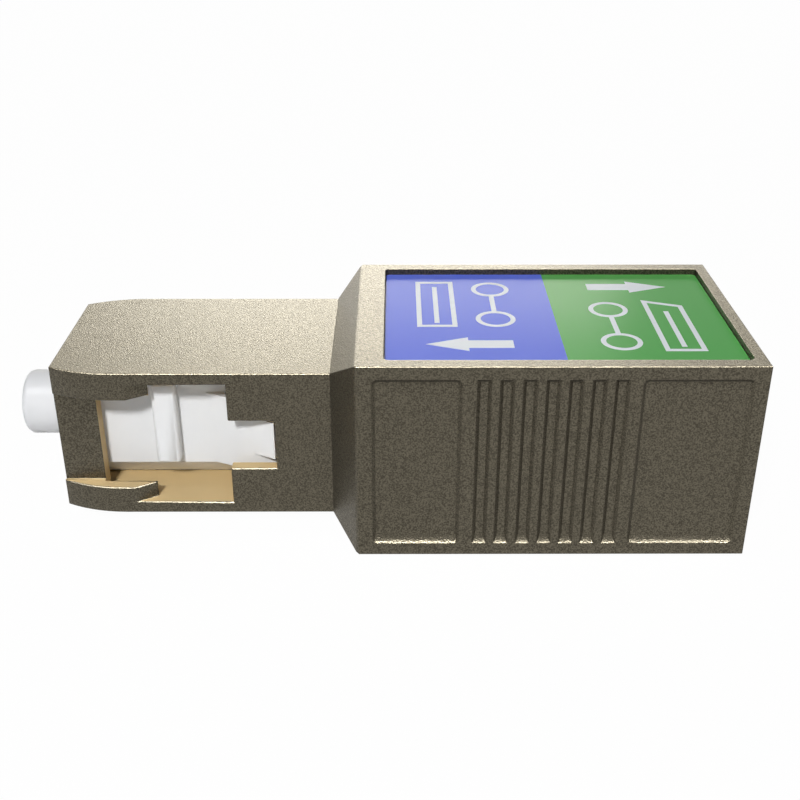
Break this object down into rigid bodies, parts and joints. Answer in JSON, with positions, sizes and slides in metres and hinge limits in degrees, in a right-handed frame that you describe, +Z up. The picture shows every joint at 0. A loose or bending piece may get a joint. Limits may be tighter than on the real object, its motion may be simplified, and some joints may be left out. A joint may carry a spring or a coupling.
{
  "type": "male to female fibre adapter",
  "caption": "Push-pull fibre adapter with a square plug at one end and a matching socket at the other, a metal grip housing, sprung ceramic ferrule and pull-off ferrule cap.",
  "frame": {"origin": "centre of the housing's flat base, on which the adapter lies", "axes": "+X along the optical axis from the plug towards the socket, +Z up through the label, -Y towards the pictured side"},
  "size_m": [0.0344, 0.0126, 0.0097],
  "materials": {
    "pearl_plating": "satin",
    "label_print": "satin",
    "white_plastic": "satin",
    "zirconia": "gloss",
    "spring_steel": "satin",
    "fibre_glass": "gloss",
    "cap_plastic": "satin"
  },
  "bodies": {
    "shell": {"outer_shell": "pearl_plating", "label": "label_print"},
    "core": {"plug_frame": "white_plastic", "latch_insert": "white_plastic", "split_sleeve": "zirconia", "stop_ring": "spring_steel", "ferrule_spring": "spring_steel"},
    "ferrule_unit": {"ferrule": "zirconia", "fibre_stub": "fibre_glass", "ferrule_flange": "spring_steel"},
    "cap": {"ferrule_cap": "cap_plastic"}
  },
  "joints": [
    {"name": "coupling_slide", "type": "slide", "parent": "shell", "child": "core", "axis": [-1, 0, 0], "range_m": [0, 0.0012]},
    {"name": "ferrule_slide", "type": "slide", "parent": "core", "child": "ferrule_unit", "axis": [1, 0, 0], "range_m": [0, 0.001], "stiffness_N_per_m": 2500, "springref_m": -0.003, "deforming": ["ferrule_spring"]},
    {"name": "cap_pull", "type": "slide", "parent": "ferrule_unit", "child": "cap", "axis": [-1, 0, 0], "range_m": [0, 0.008]}
  ]
}
